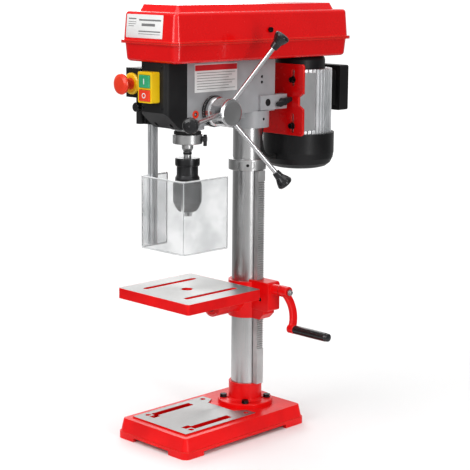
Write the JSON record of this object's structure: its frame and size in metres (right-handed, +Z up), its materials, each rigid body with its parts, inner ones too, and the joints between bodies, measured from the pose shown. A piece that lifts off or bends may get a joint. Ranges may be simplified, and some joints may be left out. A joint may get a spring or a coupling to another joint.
{
  "type": "bench drill press",
  "caption": "Bench drill press with belt cover, keyless chuck, clear swing guard, spoked feed and a rack-and-crank tilting table on a round column.",
  "frame": {"origin": "centre of the base's four bench-bolt holes, on the bench surface", "axes": "+Z up along the column, front of the machine (switch, table) towards -Y, feed handle and crank on +X"},
  "size_m": [0.3335, 0.5779, 0.875],
  "materials": {
    "red_enamel": "gloss red enamel on cast iron and sheet steel",
    "grey_paint": "semi-gloss light grey paint on cast iron",
    "bright_steel": "ground and oiled steel",
    "chrome_trim": "bright chrome plating",
    "black_oxide": "blackened steel",
    "black_plastic": "black moulded plastic, fine grain",
    "black_paint": "semi-gloss black paint",
    "yellow_plastic": "yellow moulded plastic",
    "green_plastic": "green moulded plastic",
    "red_plastic": "red moulded plastic",
    "clear_guard": "clear polycarbonate",
    "aluminium_extrusion": "plain extruded aluminium",
    "rubber_belt": "black rubber belt and cable sheath"
  },
  "bodies": {
    "frame": {"base_casting": "red_enamel", "column_flange": "red_enamel", "flange_bolts": "black_oxide", "column_tube": "bright_steel", "rack_collar": "bright_steel", "set_screws": "black_oxide", "head_casting": "grey_paint", "front_cover": "black_plastic", "switch_housing": "yellow_plastic", "interlock_box": "black_plastic", "estop_base": "yellow_plastic", "spring_cap": "black_paint", "return_spring": "bright_steel", "cover_pan": "red_enamel", "belts": "rubber_belt", "motor_lead": "rubber_belt"},
    "rack": {"column_rack": "bright_steel"},
    "bracket": {"table_bracket": "red_enamel", "bracket_pins": "black_oxide"},
    "lock_handle": {"table_lock_handle": "black_oxide"},
    "worm_wheel": {"worm_gear": "bright_steel"},
    "crank": {"worm_shaft": "bright_steel", "crank_arm": "red_enamel"},
    "grip": {"crank_grip": "black_plastic"},
    "table": {"table_casting": "red_enamel"},
    "start_button": {"start_button": "green_plastic"},
    "stop_button": {"stop_button": "red_plastic"},
    "estop": {"estop_button": "red_plastic"},
    "guard_arm": {"guard_holder": "black_plastic"},
    "guard_knob": {"guard_knob": "black_plastic"},
    "guard": {"guard_post": "aluminium_extrusion", "guard_shield": "clear_guard"},
    "quill": {"quill_sleeve": "bright_steel", "quill_collar": "bright_steel", "quill_bearings": "bright_steel"},
    "collar_lever": {"collar_lever": "black_plastic"},
    "spindle": {"spindle_shaft": "bright_steel", "chuck_body": "black_oxide"},
    "chuck_sleeve": {"chuck_sleeve": "black_oxide"},
    "jaw_1": {"chuck_jaw_1": "bright_steel"},
    "jaw_2": {"chuck_jaw_2": "bright_steel"},
    "jaw_3": {"chuck_jaw_3": "bright_steel"},
    "feed": {"feed_shaft": "bright_steel", "feed_hub": "chrome_trim", "feed_spokes": "chrome_trim", "feed_knobs": "black_plastic"},
    "depth_ring": {"depth_ring": "black_plastic"},
    "spindle_pulley": {"spindle_pulley": "aluminium_extrusion"},
    "idler_arm": {"idler_arm": "black_paint"},
    "idler_pulley": {"idler_pulley": "aluminium_extrusion"},
    "lid": {"lid": "red_enamel"},
    "lid_screw": {"lid_screw": "black_oxide"},
    "motor": {"motor_frame": "aluminium_extrusion", "motor_end_bells": "black_paint", "terminal_box": "black_plastic", "motor_plate": "red_enamel", "plate_hardware": "black_oxide"},
    "rotor": {"motor_shaft": "bright_steel", "motor_pulley": "aluminium_extrusion"},
    "wing_screw": {"motor_wing_screw": "black_plastic"}
  },
  "joints": [
    {"name": "table_swing", "type": "hinge", "parent": "frame", "child": "rack", "pos_m": [0, 0.139, 0.3], "axis": [0, 0, 1], "range_deg": [-180, 180]},
    {"name": "table_height", "type": "slide", "parent": "rack", "child": "bracket", "axis": [0, 0, 1], "range_m": [-0.06597, 0.08011]},
    {"name": "worm_wheel_turn", "type": "hinge", "parent": "bracket", "child": "worm_wheel", "pos_m": [0.0568, 0.139, 0.273], "axis": [0, 1, 0], "range_deg": [-310, 256]},
    {"name": "crank_turn", "type": "hinge", "parent": "bracket", "child": "crank", "pos_m": [0.09, 0.139, 0.296], "axis": [1, 0, 0], "range_deg": [-5045, 6125]},
    {"name": "grip_spin", "type": "hinge", "parent": "crank", "child": "grip", "pos_m": [0.18, 0.139, 0.222], "axis": [1, 0, 0], "continuous": true},
    {"name": "table_tilt", "type": "hinge", "parent": "bracket", "child": "table", "pos_m": [0, 0.068, 0.264], "axis": [0, 1, 0], "range_deg": [-45, 45]},
    {"name": "table_lock", "type": "hinge", "parent": "bracket", "child": "lock_handle", "pos_m": [0, 0.183, 0.268], "axis": [1, 0, 0], "range_deg": [-30, 60]},
    {"name": "start_press", "type": "slide", "parent": "frame", "child": "start_button", "axis": [0, 1, 0], "range_m": [0, 0.0035], "stiffness_N_per_m": 400},
    {"name": "stop_press", "type": "slide", "parent": "frame", "child": "stop_button", "axis": [0, 1, 0], "range_m": [0, 0.0035], "stiffness_N_per_m": 400},
    {"name": "estop_press", "type": "slide", "parent": "frame", "child": "estop", "axis": [0, 1, 0], "range_m": [0, 0.004], "stiffness_N_per_m": 600},
    {"name": "guard_swing", "type": "hinge", "parent": "frame", "child": "guard_arm", "pos_m": [-0.076, -0.085, 0.66], "axis": [0, 0, 1], "range_deg": [-110, 0]},
    {"name": "guard_height", "type": "slide", "parent": "guard_arm", "child": "guard", "axis": [0, 0, 1], "range_m": [-0.03, 0.05]},
    {"name": "guard_knob_turn", "type": "hinge", "parent": "guard_arm", "child": "guard_knob", "pos_m": [-0.0548, -0.11, 0.676], "axis": [0, 1, 0], "range_deg": [-180, 180]},
    {"name": "quill_feed", "type": "slide", "parent": "frame", "child": "quill", "axis": [0, 0, -1], "range_m": [0, 0.05], "stiffness_N_per_m": 400, "springref_m": -0.16},
    {"name": "collar_lever_turn", "type": "hinge", "parent": "quill", "child": "collar_lever", "pos_m": [0, -0.0295, 0.613], "axis": [0.848, 0.5299, 0], "range_deg": [-90, 90]},
    {"name": "spindle_spin", "type": "hinge", "parent": "quill", "child": "spindle", "pos_m": [0, -0.0295, 0.5], "axis": [0, 0, 1], "continuous": true},
    {"name": "spindle_pulley_spin", "type": "hinge", "parent": "frame", "child": "spindle_pulley", "pos_m": [0, -0.0295, 0.8], "axis": [0, 0, 1], "continuous": true},
    {"name": "idler_swing", "type": "hinge", "parent": "frame", "child": "idler_arm", "pos_m": [0.016, 0.1765, 0.77], "axis": [0, 0, 1], "range_deg": [-5, 5], "deforming": ["belts"]},
    {"name": "idler_spin", "type": "hinge", "parent": "idler_arm", "child": "idler_pulley", "pos_m": [0, 0.128, 0.8], "axis": [0, 0, 1], "continuous": true},
    {"name": "motor_slide", "type": "slide", "parent": "frame", "child": "motor", "axis": [0, 1, 0], "range_m": [0, 0.012], "deforming": ["belts", "motor_lead"]},
    {"name": "motor_spin", "type": "hinge", "parent": "motor", "child": "rotor", "pos_m": [0, 0.2943, 0.7], "axis": [0, 0, 1], "continuous": true},
    {"name": "wing_screw_turn", "type": "hinge", "parent": "frame", "child": "wing_screw", "pos_m": [0.05, 0.192, 0.676], "axis": [1, 0, 0], "range_deg": [-180, 180]},
    {"name": "chuck_sleeve_turn", "type": "hinge", "parent": "spindle", "child": "chuck_sleeve", "pos_m": [0, -0.0295, 0.5], "axis": [0, 0, 1], "range_deg": [0, 3600]},
    {"name": "feed_turn", "type": "hinge", "parent": "frame", "child": "feed", "pos_m": [0.07, 0, 0.6684], "axis": [1, 0, 0], "range_deg": [0, 287], "deforming": ["return_spring"]},
    {"name": "depth_ring_turn", "type": "hinge", "parent": "feed", "child": "depth_ring", "pos_m": [0.045, 0, 0.6684], "axis": [1, 0, 0], "range_deg": [-150, 150]},
    {"name": "lid_open", "type": "hinge", "parent": "frame", "child": "lid", "pos_m": [-0.088, 0.1154, 0.804], "axis": [0, -1, 0], "range_deg": [0, 100]},
    {"name": "lid_screw_turn", "type": "hinge", "parent": "lid", "child": "lid_screw", "pos_m": [0.08, 0.121, 0.825], "axis": [1, 0, 0], "range_deg": [-180, 180]},
    {"name": "jaw_1_slide", "type": "slide", "parent": "spindle", "child": "jaw_1", "axis": [0.2387, 0.1378, 0.9613], "range_m": [0, 0.0262]},
    {"name": "jaw_2_slide", "type": "slide", "parent": "spindle", "child": "jaw_2", "axis": [-0.2387, 0.1378, 0.9613], "range_m": [0, 0.0262]},
    {"name": "jaw_3_slide", "type": "slide", "parent": "spindle", "child": "jaw_3", "axis": [0, -0.2756, 0.9613], "range_m": [0, 0.0262]}
  ],
  "couplings": [
    {"joint": "worm_wheel_turn", "follows": "table_height", "rad_per_m": -66.667},
    {"joint": "crank_turn", "follows": "table_height", "rad_per_m": 1333.3},
    {"joint": "feed_turn", "follows": "quill_feed", "rad_per_m": 100},
    {"joint": "idler_spin", "follows": "motor_spin", "ratio": 0.68586},
    {"joint": "spindle_pulley_spin", "follows": "motor_spin", "ratio": 0.54223},
    {"joint": "spindle_spin", "follows": "motor_spin", "ratio": 0.54223},
    {"joint": "jaw_1_slide", "follows": "chuck_sleeve_turn", "m_per_rad": 0.0004138},
    {"joint": "jaw_2_slide", "follows": "chuck_sleeve_turn", "m_per_rad": 0.0004138},
    {"joint": "jaw_3_slide", "follows": "chuck_sleeve_turn", "m_per_rad": 0.0004138}
  ]
}
